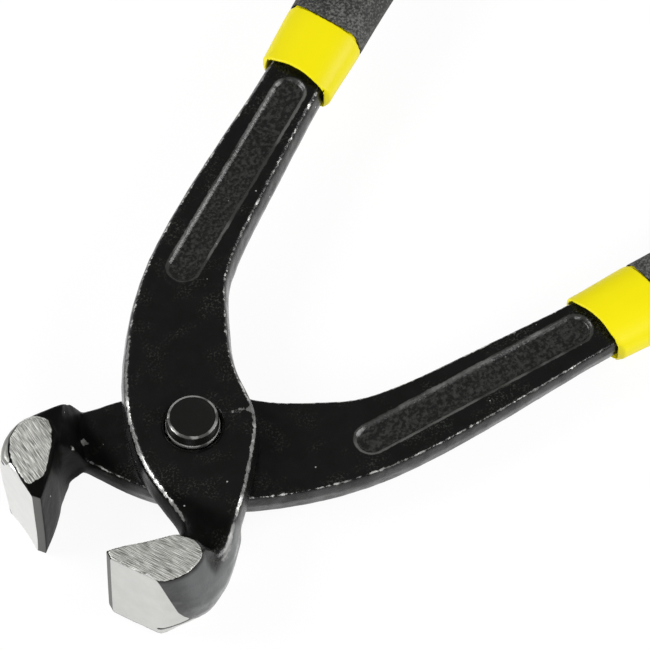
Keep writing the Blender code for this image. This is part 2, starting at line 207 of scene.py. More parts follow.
def alone(obj):
    """Select one object and make it the active one."""
    bpy.ops.object.select_all(action="DESELECT")
    obj.select_set(True)
    bpy.context.view_layer.objects.active = obj


def copied(cad_name, name):
    """A merged copy of a CAD piece, with its place in its mesh."""
    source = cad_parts[cad_name]
    mesh = source.data.copy()
    mesh.transform(source.matrix_world)
    piece = bpy.data.objects.new(name, mesh)
    bpy.context.collection.objects.link(piece)
    alone(piece)
    bpy.ops.object.mode_set(mode="EDIT")
    bpy.ops.mesh.select_all(action="SELECT")
    bpy.ops.mesh.remove_doubles(threshold=MERGE_DISTANCE)
    bpy.ops.object.mode_set(mode="OBJECT")
    mesh.materials.clear()
    return piece


def kept_side(piece, point, normal):
    """Cut a piece with a plane, close the cut and keep the side that the normal points away from."""
    alone(piece)
    bpy.ops.object.mode_set(mode="EDIT")
    bpy.ops.mesh.select_all(action="SELECT")
    bpy.ops.mesh.bisect(plane_co=point, plane_no=normal, use_fill=True, clear_outer=True)
    bpy.ops.object.mode_set(mode="OBJECT")


def handle_plane(side, behind):
    """Point and direction of a plane across a handle, some way behind the collar's front."""
    turn = HALF_OPENING + HANDLE_LEAN
    direction = Vector((math.cos(turn), side * math.sin(turn), 0.0))
    c = math.cos(HALF_OPENING)
    s = math.sin(HALF_OPENING)
    front_x = c * COLLAR_FRONT[0] - s * COLLAR_FRONT[1]
    front_y = s * COLLAR_FRONT[0] + c * COLLAR_FRONT[1]
    return Vector((front_x, side * front_y, JOINT_HEIGHT)) + behind * direction, direction


def split(cad_name, name, hidden_name, side, behind):
    """The front of a CAD piece and its hidden rest, cut across the handle."""
    piece = copied(cad_name, name)
    hidden = copied(cad_name, hidden_name)
    cut, direction = handle_plane(side, behind)
    kept_side(piece, cut, direction)
    kept_side(hidden, cut, -direction)
    return piece, hidden


def joined(piece, hidden):
    """Join the hidden rest to its front, which stays selected."""
    alone(piece)
    hidden.select_set(True)
    bpy.ops.object.join()


def eased(piece, height, amount):
    """Round the rim of the flat face at a height."""
    alone(piece)
    bpy.ops.object.mode_set(mode="EDIT")
    bpy.ops.mesh.select_mode(type="FACE")
    bpy.ops.mesh.select_all(action="SELECT")
    bpy.ops.mesh.dissolve_limited(angle_limit=FLAT_ANGLE)
    bpy.ops.mesh.select_all(action="DESELECT")
    bpy.ops.object.mode_set(mode="OBJECT")
    for face in piece.data.polygons:
        face.select = abs(face.normal.z) > FACE_LEVEL and abs(face.center.z - height) < FACE_TOLERANCE
    bpy.ops.object.mode_set(mode="EDIT")
    bpy.ops.mesh.region_to_loop()
    bpy.ops.mesh.bevel(offset=amount, segments=RIM_SEGMENTS, affect="EDGES")
    bpy.ops.mesh.select_mode(type="VERT")
    bpy.ops.object.mode_set(mode="OBJECT")


def modified(piece, kind, **settings):
    """Add a modifier with its settings and apply it."""
    alone(piece)
    change = piece.modifiers.new(kind.lower(), kind)
    for setting, value in settings.items():
        setattr(change, setting, value)
    bpy.ops.object.modifier_apply(modifier=change.name)


def smoothed(piece, passes, group=""):
    """Smooth a piece, or as much of it as a vertex group says."""
    modified(piece, "SMOOTH", factor=0.5, iterations=passes, vertex_group=group)


def weighted(piece, name, weights):
    """Vertex group with a weight for every vertex."""
    group = piece.vertex_groups.new(name=name)
    for index in np.flatnonzero(weights > LEAST_WEIGHT):
        group.add([int(index)], float(weights[index]), "REPLACE")


def places_of(mesh):
    """Vertex places."""
    places = np.empty(len(mesh.vertices) * 3)
    mesh.vertices.foreach_get("co", places)
    return places.reshape(-1, 3)


def normals_of(mesh):
    """Vertex normals."""
    normals = np.empty(len(mesh.vertices) * 3)
    mesh.vertex_normals.foreach_get("vector", normals)
    return normals.reshape(-1, 3)


def moved(mesh, places):
    """Put the vertices at new places."""
    mesh.vertices.foreach_set("co", places.ravel())
    mesh.update()


def closed_frame(places, side):
    """Places as the lever lies with the jaws closed, seen from its outer face."""
    x = places[:, 0]
    y = places[:, 1] * side
    z = (places[:, 2] - JOINT_HEIGHT) * side
    c = math.cos(HALF_OPENING)
    s = math.sin(HALF_OPENING)
    return c * x + s * y, c * y - s * x, z


def ramp(values, low, high):
    """Smooth step of values from low to high."""
    t = np.clip((values - low) / (high - low), 0.0, 1.0)
    return t * t * (3 - 2 * t)


def softened(mesh, values):
    """Vertex values averaged a few times with their neighbours."""
    ends = np.empty(len(mesh.edges) * 2, dtype=np.int32)
    mesh.edges.foreach_get("vertices", ends)
    first, second = ends.reshape(-1, 2).T
    count = len(values)
    neighbours = np.bincount(first, minlength=count) + np.bincount(second, minlength=count)
    for step in range(MASK_PASSES):
        around = np.bincount(first, values[second], count) + np.bincount(second, values[first], count)
        values = (values + around / np.maximum(neighbours, 1)) / 2
    return values


def nudged(piece, side, moves):
    """Press parts of a forging about, each move with its middle, its reach and its way when closed."""
    places = places_of(piece.data)
    spots = np.stack(closed_frame(places, side), axis=1)
    shift = np.zeros_like(spots)
    for middle, reach, way in moves:
        distance = np.linalg.norm((spots - np.array(middle)) / np.array(reach), axis=1)
        shift += ramp(-distance, -1.0, 0.0)[:, None] * np.array(way)
    c = math.cos(HALF_OPENING)
    s = math.sin(HALF_OPENING)
    places[:, 0] += c * shift[:, 0] - s * shift[:, 1]
    places[:, 1] += side * (s * shift[:, 0] + c * shift[:, 1])
    places[:, 2] += side * shift[:, 2]
    moved(piece.data, places)


def off_panel_line(x, y):
    """Distance from the middle line of the sunk panel."""
    return np.abs(y - PANEL_OFFSET - math.tan(PANEL_LEAN) * (x - PANEL_START))


def off_panel_outline(x, y, trim):
    """Distance outside the sunk panel's outline, its two ends trimmed."""
    along = math.cos(PANEL_LEAN) * (x - PANEL_START) + math.sin(PANEL_LEAN) * (y - PANEL_OFFSET)
    across = math.cos(PANEL_LEAN) * (y - PANEL_OFFSET) - math.sin(PANEL_LEAN) * (x - PANEL_START)
    beyond = np.maximum(PANEL_RADIUS + trim[0] - along, along - PANEL_LENGTH + PANEL_RADIUS + trim[1])
    return np.hypot(np.maximum(beyond, 0.0), across) - PANEL_RADIUS


def ground_faces(x, y, z, side):
    """Masks of a jaw's bare faces, where the forging is ground, and the distance past the nose's corner."""
    whole_pad = ramp(np.abs(z), *PAD_FACE)
    whole_pad *= np.where(z < 0, ramp(-y, *PAD_TIP), 1.0)
    whole_pad = np.maximum(whole_pad, ramp(-z, *PAD_HEEL_FACE) * ramp(-y, *PAD_HEEL))
    pad = whole_pad * (1 - ramp(y, *PAD_NOTCH_OFFSETS) * ramp(x, *PAD_NOTCH_PLACES))

    bound = np.interp(z, NOSE_HEIGHTS[side], NOSE_BOUNDS[side])
    past_corner = CORNER_LEAN * (y + CORNER_OFFSET) - x - bound
    on_corner = ramp(-y, *CORNER_START)
    nose = ramp(-x, *NOSE_FACE) * (1 - on_corner)
    nose = np.maximum(nose, ramp(past_corner, *CORNER_EDGE) * on_corner) * ramp(z, *NOSE_FOOT)
    burr_height, burr_lean, burr_offset = BURR_LINE[side]
    off_burr = np.abs(z + burr_height + burr_lean * (y + burr_offset))
    nose *= 1 - ramp(-off_burr, *BURR_WIDTH) * ramp(-y, *BURR_START)

    land_x = NOSE_REACH - CUT_REACH
    lift = (-LAND_HEIGHT * (x + CUT_REACH) + land_x * y) / math.hypot(land_x, LAND_HEIGHT)
    land = ramp(lift, *LAND_FACE) * (1 - nose)
    ground = np.maximum(np.maximum(pad, nose), land) > LEAST_GROUND

    cheek = np.zeros_like(x)
    if side == LOWER:
        past_outer = np.interp(y, SMALL_PAD_OUTER_OFFSETS, SMALL_PAD_OUTER_BOUNDS) - x
        past_inner = x - np.interp(y, SMALL_PAD_INNER_OFFSETS, SMALL_PAD_INNER_BOUNDS)
        small_pad = whole_pad * ramp(-np.maximum(past_outer, past_inner), *SMALL_PAD_EDGE)
        pad = np.where(z < 0, small_pad, pad)
        cheek = ramp(-z, *CHEEK_FACE) * ramp(past_outer, *CHEEK_EDGE) * ramp(-y, *CHEEK_START)
        past_line = past_outer - np.interp(y, LINE_OFFSETS, LINE_WIDTHS)
        past_line = ramp(past_line, *LINE_EDGE) * ramp(y, *LINE_START)
        nose = np.maximum(nose, past_line * ramp(-z, *LINE_FACE))
    masks = {"bare_pad": pad, "bare_nose": nose, "bare_land": land, "bare_cheek": cheek}
    return masks, ground, past_corner


def forged_softness(x, y, z):
    """How far the forged skin is smoothed, and how far its heel, neck and arch are rounded."""
    head = ramp(-x, *HEAD_START)
    shank = ramp(x, *SHANK_START) * ramp(off_panel_line(x, y), *PANEL_CLEAR)
    soft = np.maximum(LEAST_SOFT + (1 - LEAST_SOFT) * head, SHANK_SOFT * shank) * ramp(-x, *SHANK_END)
    rounded = np.zeros_like(x)
    for (middle_x, middle_y, middle_z), height_share, reach in ROUNDED:
        apart = np.stack((x - middle_x, y - middle_y, height_share * (z - middle_z)), axis=1)
        rounded = np.maximum(rounded, ramp(-np.linalg.norm(apart, axis=1), *reach))
    return soft, rounded


def wear_glint_and_sheen_masks(x, y, z, normals, side, ground, past_corner):
    """Masks of the edges, worn and painted with glints, the plate's rim, worn and painted with a highlight
    line, the barrel's painted sheen and shade, and the dull inside of the jaw.
    """
    tilt = np.abs(normals[:, 2])
    barrel = ramp(-x, *BARREL_START) * ramp(-y, *BARREL_SIDE)
    # Edges painted bright, partly as wear and partly as painted glints
    edge = ramp(tilt, *EDGE_STEEP) * ramp(-tilt, *EDGE_FLAT)
    edge *= (1 - barrel) * ramp(x, *EDGE_START)
    edge *= EDGE_AT_RIVET + (1 - EDGE_AT_RIVET) * ramp(np.hypot(x, y), *EDGE_OFF_RIVET)
    edge = np.where(ground, 0.0, edge)
    edge *= np.where(x > PANEL_START - EDGE_BEFORE_PANEL, ramp(off_panel_line(x, y), *EDGE_OFF_PANEL), 1.0)
    edge *= 1 - EDGE_LOST[side] * ramp(x, *EDGE_ON_SHANK)
    # Chips painted bright, partly as chipped lacquer and partly as painted glints
    for middle, reach in GLINT_CHIPS[side]:
        distance = np.linalg.norm(np.stack((x, y, z), axis=1) - np.array(middle), axis=1) / reach
        edge = np.maximum(edge, np.clip(GLINT_CHIP_SPREAD - distance, 0.0, 1.0))

    # A line along the plate's rim over the jaw, painted bright as a highlight and as wear
    past_rim = y - np.interp(x, RIM_PLACES, RIM_OFFSETS)
    plate_face = ramp(z, *PLATE_FACE)
    worn_glinting_rim = np.clip(1 - np.abs(past_rim) / RIM_WIDTH, 0.0, 1.0) * plate_face * barrel * ramp(x, *RIM_FADE)
    plate = plate_face * ramp(past_rim, *PLATE_EDGE) * ramp(x, *PLATE_TIP)
    # The barrel's mask carries a painted sheen on the upper jaw and painted shade on the lower, fading
    # towards the nose's corner
    corner_shade = BARREL_LEAST + (1 - BARREL_LEAST) * ramp(-past_corner, *BARREL_FADE)
    barrel *= (1 - plate) * ramp(-z, *BARREL_TOP) * corner_shade
    matt = ramp(-x, *BARREL_START)
    if side == UPPER:
        facing_out = normals[:, 1] * math.cos(HALF_OPENING) - normals[:, 0] * math.sin(HALF_OPENING)
        matt *= ramp(facing_out, *MATT_FACING)
    return {"worn_glinting_edge": edge, "worn_glinting_rim": worn_glinting_rim, "barrel": barrel, "matt": matt}


forge_skin = bpy.data.textures.new("forge skin", "CLOUDS")
forge_skin.noise_scale = 0.0035
forge_skin.noise_depth = 3
trimmed_edge = bpy.data.textures.new("trimmed edge", "CLOUDS")
trimmed_edge.noise_scale = 0.0011
trimmed_edge.noise_depth = 2


def roughened(piece, texture, strength, group):
    """Push the skin in and out by a texture, as much as a vertex group says."""
    modified(piece, "DISPLACE", texture=texture, texture_coords="LOCAL", strength=strength,
             mid_level=0.5, vertex_group=group)


def forged_lever(name, side):
    """A lever's forging: its visible part fine and rough, its hidden tang plain."""
    forging_name = name.replace("lever", "forging")
    tang_name = name.replace("lever", "tang")
    lever, tang = split(name, forging_name, tang_name, side, TANG_CUT)
    eased(lever, JOINT_HEIGHT + HALF_JAW, OUTER_RIM if side == UPPER else INNER_RIM)
    eased(lever, JOINT_HEIGHT - HALF_JAW, INNER_RIM if side == UPPER else OUTER_RIM)
    modified(lever, "REMESH", mode="VOXEL", voxel_size=FORGING_GRAIN)

    x, y, z = closed_frame(places_of(lever.data), side)
    masks, ground, past_corner = ground_faces(x, y, z, side)
    soft, rounded = forged_softness(x, y, z)
    weighted(lever, "forged", np.where(ground, 0.0, soft))
    smoothed(lever, SKIN_PASSES, "forged")
    weighted(lever, "rounded", np.where(ground, 0.0, rounded))
    smoothed(lever, ROUNDED_PASSES, "rounded")
    nudged(lever, side, PRESSED[side])

    places = places_of(lever.data)
    normals = normals_of(lever.data)
    masks.update(wear_glint_and_sheen_masks(x, y, z, normals, side, ground, past_corner))
    outside = off_panel_outline(x, y, PANEL_TRIM[side])
    masks["panel"] = ramp(-outside, PANEL_RIM, PANEL_DEPTH)
    # A band along the panel's rim, for a painted highlight
    masks["panel_rim_highlight"] = np.clip(1 - np.abs(outside + PANEL_RIM) / PANEL_RIM_HIGHLIGHT_WIDTH, 0.0, 1.0)
    masks["upper"] = np.full(len(x), 1.0 if side == UPPER else 0.0)
    sunk = np.clip(-off_panel_outline(x, y, (0.0, 0.0)), 0.0, PANEL_DEPTH)
    resunk = np.clip(-outside, 0.0, PANEL_DEPTH)
    places[:, 2] += np.where(normals[:, 2] > FACES_UP, sunk - resunk, 0.0)
    moved(lever.data, places)

    weighted(lever, "edge", masks["worn_glinting_edge"])
    roughened(lever, forge_skin, SKIN_ROUGHNESS, "forged")
    roughened(lever, trimmed_edge, EDGE_ROUGHNESS, "edge")
    lever.vertex_groups.clear()
    for mask_name, values in masks.items():
        mask = lever.data.attributes.new(mask_name, "FLOAT", "POINT")
        mask.data.foreach_set("value", softened(lever.data, values).astype(np.float32))
    moved(lever.data, np.clip(places_of(lever.data), np.array(cad_box[0]), np.array(cad_box[1])))

    joined(lever, tang)
    bpy.ops.object.shade_smooth()
    return lever


def feed(tree, made, inputs):
    """Set or link a shader node's inputs by name or number."""
    for key, value in inputs.items():
        if isinstance(value, bpy.types.NodeSocket):
            tree.links.new(value, made.inputs[key])
        else:
            made.inputs[key].default_value = value


def node(tree, kind, inputs=None, **settings):
    """Shader node with its settings and inputs."""
    made = tree.nodes.new(kind)
    for setting, value in settings.items():
        setattr(made, setting, value)
    feed(tree, made, inputs or {})
    return made


def maths(tree, operation, *values, clamp=False):
    """Math node's result."""
    made = node(tree, "ShaderNodeMath", operation=operation, use_clamp=clamp, inputs=dict(enumerate(values)))
    return made.outputs[0]


def stepped(tree, value, low, high):
    """Smooth step of a value as a mask."""
    made = node(tree, "ShaderNodeMapRange", interpolation_type="SMOOTHSTEP", inputs={
        "Value": value, "From Min": low, "From Max": high,
    })
    return made.outputs["Result"]


def mixed(tree, mask, first, second):
    """Two colours mixed by a mask."""
    colours = [c if isinstance(c, bpy.types.NodeSocket) else (*c, 1.0) for c in (first, second)]
    made = node(tree, "ShaderNodeMix", data_type="RGBA", inputs={0: mask, 6: colours[0], 7: colours[1]})
    return made.outputs[2]


def blended(tree, mask, first, second):
    """Two values mixed by a mask."""
    made = node(tree, "ShaderNodeMix", inputs={0: mask, 2: first, 3: second})
    return made.outputs[0]


def noise(tree, place, scale, detail=3.0, roughness=0.5):
    """Noise value at a place."""
    made = node(tree, "ShaderNodeTexNoise", inputs={
        "Vector": place, "Scale": scale, "Detail": detail, "Roughness": roughness,
    })
    return made.outputs["Fac"]


def attribute(tree, name):
    """Value stored on the mesh."""
    return node(tree, "ShaderNodeAttribute", attribute_name=name).outputs["Fac"]


def bumped(tree, height):
    """Normal of a surface with a height in metres."""
    made = node(tree, "ShaderNodeBump", inputs={"Strength": 1.0, "Distance": 1.0, "Height": height})
    return made.outputs[0]


def new_material(name):
    """Empty material with its shader and the piece's own coordinates."""
    material = bpy.data.materials.new(name)
    material.use_nodes = True
    tree = material.node_tree
    shader = tree.nodes["Principled BSDF"]
    place = node(tree, "ShaderNodeTexCoord").outputs["Object"]
    return material, tree, shader, place


def new_group(name, inputs, outputs):
    """Empty shader group with named sockets, and its input and output nodes."""
    group = bpy.data.node_groups.new(name, "ShaderNodeTree")
    for label, kind in inputs:
        group.interface.new_socket(label, in_out="INPUT", socket_type=kind)
    for label, kind in outputs:
        group.interface.new_socket(label, in_out="OUTPUT", socket_type=kind)
    return group, node(group, "NodeGroupInput").outputs, node(group, "NodeGroupOutput")


def placed(tree, group, **values):
    """Shader group set in a material, with its values."""
    return node(tree, "ShaderNodeGroup", node_tree=group, inputs={
        label.replace("_", " "): value for label, value in values.items()
    }).outputs


fine_grain, given, result = new_group(
    "fine grain",
    (("Place", "NodeSocketVector"), ("Scale", "NodeSocketFloat"), ("Coarseness", "NodeSocketFloat"),
     ("Depth", "NodeSocketFloat")),
    (("Grain", "NodeSocketFloat"), ("Height", "NodeSocketFloat")),
)
speckle = noise(fine_grain, given["Place"], given["Scale"], 3.0, given["Coarseness"])
feed(fine_grain, result, {"Grain": speckle, "Height": maths(fine_grain, "MULTIPLY", speckle, given["Depth"])})

# A broken band of bare steel along a mask, used for worn edges and for painted highlights and glints
wear_and_glint_band, given, result = new_group(
    "wear and glint band",
    (("Place", "NodeSocketVector"), ("Edge", "NodeSocketFloat"), ("Chip Scale", "NodeSocketFloat"),
     ("Patch Scale", "NodeSocketFloat"), ("Raggedness", "NodeSocketFloat"), ("Least", "NodeSocketFloat")),
    (("Wear and Glint", "NodeSocketFloat"),),
)
chips = maths(wear_and_glint_band, "SUBTRACT", noise(wear_and_glint_band, given["Place"], given["Chip Scale"], 3.0, 0.6), 0.5)
torn = maths(wear_and_glint_band, "MULTIPLY_ADD", chips, given["Raggedness"], given["Edge"])
patches = stepped(wear_and_glint_band, noise(wear_and_glint_band, given["Place"], given["Patch Scale"], 2.0, 0.5), 0.42, 0.58)
patches = blended(wear_and_glint_band, patches, given["Least"], 1.0)
torn = maths(wear_and_glint_band, "MULTIPLY", stepped(wear_and_glint_band, torn, 0.54, 0.78), patches)
feed(wear_and_glint_band, result, {"Wear and Glint": torn})

LACQUER_BLACK = (0.0011, 0.0014, 0.0010)
LACQUER_CLOUD = (0.0030, 0.0034, 0.0027)
LACQUER_SPARKLE = (0.026, 0.028, 0.022)
PANEL_DARK = (0.007, 0.007, 0.0065)
PANEL_LIGHT = (0.034, 0.035, 0.032)
PANEL_RIM_HIGHLIGHT = (0.105, 0.106, 0.100)
LOWER_BARREL_SHADE = (0.003, 0.003, 0.003)
UPPER_BARREL_SHEEN = (0.095, 0.098, 0.099)
WORN_STEEL_AND_GLINT = (0.68, 0.68, 0.66)
PAD_STEEL = (0.50, 0.50, 0.47)
PAD_SCORED = (0.20, 0.20, 0.185)
PAD_BRIGHT = (0.88, 0.88, 0.84)
LAND_STEEL = (0.13, 0.13, 0.125)
CHEEK_STEEL = (0.30, 0.30, 0.285)
LOWER_NOSE_STEEL = ((0.74, 0.74, 0.72), (0.88, 0.88, 0.865))
UPPER_NOSE_STEEL = ((0.57, 0.57, 0.55), (0.73, 0.73, 0.71))
LOWER_SCRATCH_TURN = math.radians(-75)
UPPER_SCRATCH_TURN = math.radians(79)

lever_lacquer, tree, shader, place = new_material("lever lacquer")
upper = attribute(tree, "upper")
ragged = maths(tree, "MULTIPLY", maths(tree, "SUBTRACT", noise(tree, place, 900.0, 2.0, 0.5), 0.5), 0.9)
pad = stepped(tree, maths(tree, "ADD", attribute(tree, "bare_pad"), ragged), 0.42, 0.58)
nose = stepped(tree, attribute(tree, "bare_nose"), 0.42, 0.58)
land = stepped(tree, attribute(tree, "bare_land"), 0.35, 0.65)
cheek = stepped(tree, attribute(tree, "bare_cheek"), 0.35, 0.65)
bare = maths(tree, "MAXIMUM", maths(tree, "MAXIMUM", pad, nose), maths(tree, "MAXIMUM", land, cheek))

# Grinding scratches on the side pads
scratch_turn = blended(tree, upper, LOWER_SCRATCH_TURN, UPPER_SCRATCH_TURN)
lay = node(tree, "ShaderNodeVectorRotate", rotation_type="Z_AXIS", inputs={
    "Vector": place, "Angle": scratch_turn,
})
stretched = node(tree, "ShaderNodeMapping", inputs={"Vector": lay.outputs[0], "Scale": (0.05, 1.0, 1.0)})
scratch = noise(tree, stretched.outputs[0], 6500.0, 2.0, 0.55)
patched = maths(tree, "ADD", scratch, maths(tree, "MULTIPLY", noise(tree, place, 420.0, 2.0, 0.5), 0.14))
scored = stepped(tree, patched, 0.53, 0.47)
bright = stepped(tree, patched, 0.61, 0.66)

# Lacquer rubbed off the edges and the plate's rim, with painted glints along them, and specks painted as bare
# steel glints
cloud = noise(tree, place, 260.0, 4.0, 0.6)
grit = placed(tree, fine_grain, Place=place, Scale=1500.0, Coarseness=0.6, Depth=0.00005)
edge = attribute(tree, "worn_glinting_edge")
wear_and_glints = placed(tree, wear_and_glint_band, Place=place, Edge=edge, Chip_Scale=900.0, Patch_Scale=160.0, Raggedness=1.7,
              Least=0.22)["Wear and Glint"]
# The plate's rim line: a painted highlight and wear
rim = placed(tree, wear_and_glint_band, Place=place, Edge=attribute(tree, "worn_glinting_rim"), Chip_Scale=900.0,
             Patch_Scale=200.0, Raggedness=0.6, Least=0.5)["Wear and Glint"]
wear_and_glints = maths(tree, "MAXIMUM", wear_and_glints, maths(tree, "MULTIPLY", rim, 0.6))
# Sparse specks painted as bare steel, standing in for glints
cells = node(tree, "ShaderNodeTexVoronoi", inputs={"Vector": place, "Scale": 420.0, "Randomness": 1.0})
picked = node(tree, "ShaderNodeSeparateColor", inputs={0: cells.outputs["Color"]}).outputs[0]
glint_speck = maths(tree, "MULTIPLY", stepped(tree, picked, 0.80, 0.82),
              stepped(tree, cells.outputs["Distance"], 0.085, 0.050))
wear_and_glints = maths(tree, "MAXIMUM", wear_and_glints, glint_speck)

# Black lacquer with painted sparkle, the panels' grainy floors, their rims with a painted highlight, and the
# jaws' barrels with painted sheen and painted shade
# Fine bright specks painted on the lacquer as sparkle
painted_sparkle = maths(tree, "MULTIPLY", stepped(tree, noise(tree, place, 150.0, 3.0, 0.55), 0.46, 0.66),
              stepped(tree, noise(tree, place, 2300.0, 2.0, 0.6), 0.50, 0.66))
lacquer = mixed(tree, stepped(tree, cloud, 0.35, 0.75), LACQUER_BLACK, LACQUER_CLOUD)
lacquer = mixed(tree, painted_sparkle, lacquer, LACQUER_SPARKLE)
panel_floor = mixed(tree, stepped(tree, grit["Grain"], 0.40, 0.66), PANEL_DARK, PANEL_LIGHT)
lacquer = mixed(tree, attribute(tree, "panel"), lacquer, panel_floor)
# A painted highlight along the panels' rims
panel_rim_highlight = placed(tree, wear_and_glint_band, Place=place, Edge=attribute(tree, "panel_rim_highlight"), Chip_Scale=700.0,
                   Patch_Scale=110.0, Raggedness=0.5, Least=0.3)["Wear and Glint"]
lacquer = mixed(tree, panel_rim_highlight, lacquer, PANEL_RIM_HIGHLIGHT)
# The jaws' barrels: a painted grey sheen on the upper lever and near black painted shade on the lower
off_pad = stepped(tree, attribute(tree, "bare_pad"), 0.20, 0.05)
barrel = maths(tree, "MULTIPLY", attribute(tree, "barrel"), off_pad)
lacquer = mixed(tree, barrel, lacquer, mixed(tree, upper, LOWER_BARREL_SHADE, UPPER_BARREL_SHEEN))

# Bare steel over the lacquer
steel = mixed(tree, scored, PAD_STEEL, PAD_SCORED)
steel = mixed(tree, bright, steel, PAD_BRIGHT)
nose_steel = mixed(tree, upper, mixed(tree, cloud, *LOWER_NOSE_STEEL), mixed(tree, cloud, *UPPER_NOSE_STEEL))
# Edges, rims and specks take bright steel, partly as wear and partly as painted glints
colour = mixed(tree, wear_and_glints, lacquer, WORN_STEEL_AND_GLINT)
colour = mixed(tree, pad, colour, steel)
colour = mixed(tree, land, colour, LAND_STEEL)
colour = mixed(tree, cheek, colour, CHEEK_STEEL)
colour = mixed(tree, nose, colour, nose_steel)
metal = maths(tree, "MAXIMUM", bare, maths(tree, "MULTIPLY", wear_and_glints, 0.7))
metal = maths(tree, "SUBTRACT", metal, maths(tree, "MULTIPLY", pad, 0.45))
roughness = blended(tree, bare, blended(tree, wear_and_glints, 0.50, 0.34), 0.45)
covered = maths(tree, "SUBTRACT", 1.0, maths(tree, "MAXIMUM", bare, wear_and_glints), clamp=True)
gloss = blended(tree, stepped(tree, cloud, 0.35, 0.70), 1.0, 0.55)
gloss = maths(tree, "MULTIPLY", gloss, blended(tree, attribute(tree, "matt"), 1.0, 0.05))
gloss = maths(tree, "MULTIPLY", gloss, covered)
relief = maths(tree, "MULTIPLY", grit["Height"], blended(tree, edge, 1.0, 2.8))
relief = blended(tree, bare, relief, maths(tree, "MULTIPLY", scratch, maths(tree, "MULTIPLY", pad, 0.00008)))
skin = bumped(tree, relief)
feed(tree, shader, {
    "Base Color": colour, "Metallic": metal, "Roughness": roughness, "Specular IOR Level": 0.06,
    "Coat Weight": gloss, "Coat Roughness": 0.20, "Normal": skin, "Coat Normal": skin,
})

for lever_node, body, side in (("lower_lever", "lower_half", LOWER), ("upper_lever", "upper_half", UPPER)):
    lever = forged_lever(lever_node, side)
    lever.data.materials.clear()
    lever.data.materials.append(lever_lacquer)
    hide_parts(lever_node)
    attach(lever, body)

# Pivot rivet
# A steel pin through both plates, its ends upset into the countersinks so that it can't come out.
# It was dipped with the levers, so its chamfered ends are black; their rims are worn bright and painted with
# glint arcs.

RIVET_SIDES = 96
RIVET_RINGS = (
    (0.00430, 0.00000),
    (0.00482, 0.00022),
    (0.00500, 0.00070),
    (0.00500, 0.00235),
    (0.00520, 0.00265),
    (0.00500, 0.00390),
    (0.00500, 0.01450),
    (0.00520, 0.01575),
    (0.00500, 0.01605),
    (0.00500, 0.01770),
    (0.00482, 0.01818),
    (0.00430, 0.01840),
    (0.00395, 0.01832),
    (0.00340, 0.01826),
)
RIVET_BLACK = (0.006, 0.006, 0.0055)
RIVET_RIM_GLINT = (0.55, 0.55, 0.53)
CHAMFER_INNER = (0.00425, 0.00445)
CHAMFER_OUTER = (0.00492, 0.00480)
FLARED_RIM = (0.00502, 0.00508)

bpy.ops.object.select_all(action="DESELECT")
bpy.ops.mesh.primitive_circle_add(
    vertices=RIVET_SIDES, radius=RIVET_RINGS[0][0], fill_type="NGON", location=(0, 0, 0),
)
rivet = bpy.context.object
rivet.name = "rivet"
bpy.ops.object.mode_set(mode="EDIT")
bpy.ops.mesh.select_all(action="SELECT")
for (radius, height), (next_radius, next_height) in zip(RIVET_RINGS, RIVET_RINGS[1:]):
    bpy.ops.mesh.extrude_region_move(TRANSFORM_OT_translate={"value": (0, 0, next_height - height)})
    share = next_radius / radius
    bpy.ops.transform.resize(value=(share, share, 1), center_override=(0, 0, next_height))
bpy.ops.mesh.select_all(action="SELECT")
bpy.ops.mesh.normals_make_consistent(inside=False)
bpy.ops.object.mode_set(mode="OBJECT")
bpy.ops.object.shade_smooth_by_angle(angle=math.radians(40))

rivet_lacquer, tree, shader, place = new_material("rivet lacquer")
across_x, across_y = node(tree, "ShaderNodeSeparateXYZ", inputs={0: place}).outputs[:2]
radius = maths(tree, "SQRT", maths(tree, "ADD", maths(tree, "MULTIPLY", across_x, across_x),
                                   maths(tree, "MULTIPLY", across_y, across_y)))
grit = placed(tree, fine_grain, Place=place, Scale=1300.0, Coarseness=0.6, Depth=0.00005)
# Arcs on the chamfered rims painted bright, partly as wear and partly as painted glints
chamfer = maths(tree, "MULTIPLY", stepped(tree, radius, *CHAMFER_INNER),
                stepped(tree, radius, *CHAMFER_OUTER))
rim = maths(tree, "MAXIMUM", chamfer, stepped(tree, radius, *FLARED_RIM))
rim = placed(tree, wear_and_glint_band, Place=place, Edge=rim, Chip_Scale=900.0, Patch_Scale=260.0, Raggedness=1.6,
             Least=0.12)["Wear and Glint"]
feed(tree, shader, {
    "Base Color": mixed(tree, rim, RIVET_BLACK, RIVET_RIM_GLINT), "Metallic": maths(tree, "MULTIPLY", rim, 0.7),
    "Roughness": blended(tree, grit["Grain"], 0.18, 0.36), "Specular IOR Level": 0.4,
    "Normal": bumped(tree, grit["Height"]),
})
rivet.data.materials.append(rivet_lacquer)
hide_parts("pivot_rivet")
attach(rivet, "lower_half")

# Grip sleeves
# A yellow soft-plastic sleeve is moulded on each tang; its full-size collar shows in front of the cover.
# The collar's front lip is rounded, and its mouth is sunk a little above and below the shank.

GRIP_STATIONS = (0.0, 0.0136, 0.0606, 0.1346)
GRIP_HALF_WIDTHS = (0.0080, 0.0084, 0.0097, 0.0089)
GRIP_HALF_THICKNESSES = (0.0048, 0.0052, 0.0060, 0.0056)
GRIP_MIDDLE = 0.0028
OVAL_POWER = 2.35
OVAL_CORE = 0.5
OUTER_SKIN = (0.86, 1.0)
SEAM_BEHIND = 0.0136
SLEEVE_CUT = SEAM_BEHIND + 0.008
SLEEVE_GRAIN = 0.00026
GRIP_PASSES = 6
LOWER_FORWARD = 0.0015
LOWER_SLANT = 0.0004
FORWARD_FADE = (-0.040, 0.0)
MOUTH_DEPTH = 0.0020
MOUTH_REACH = 0.0060
MOUTH_INSIDE = (-0.86, -0.68)
MOUTH_WIDTH = (-0.86, -0.66)
SLEEVE_YELLOW = (0.865, 0.755, 0.0)
SLEEVE_PALE = (0.890, 0.780, 0.001)

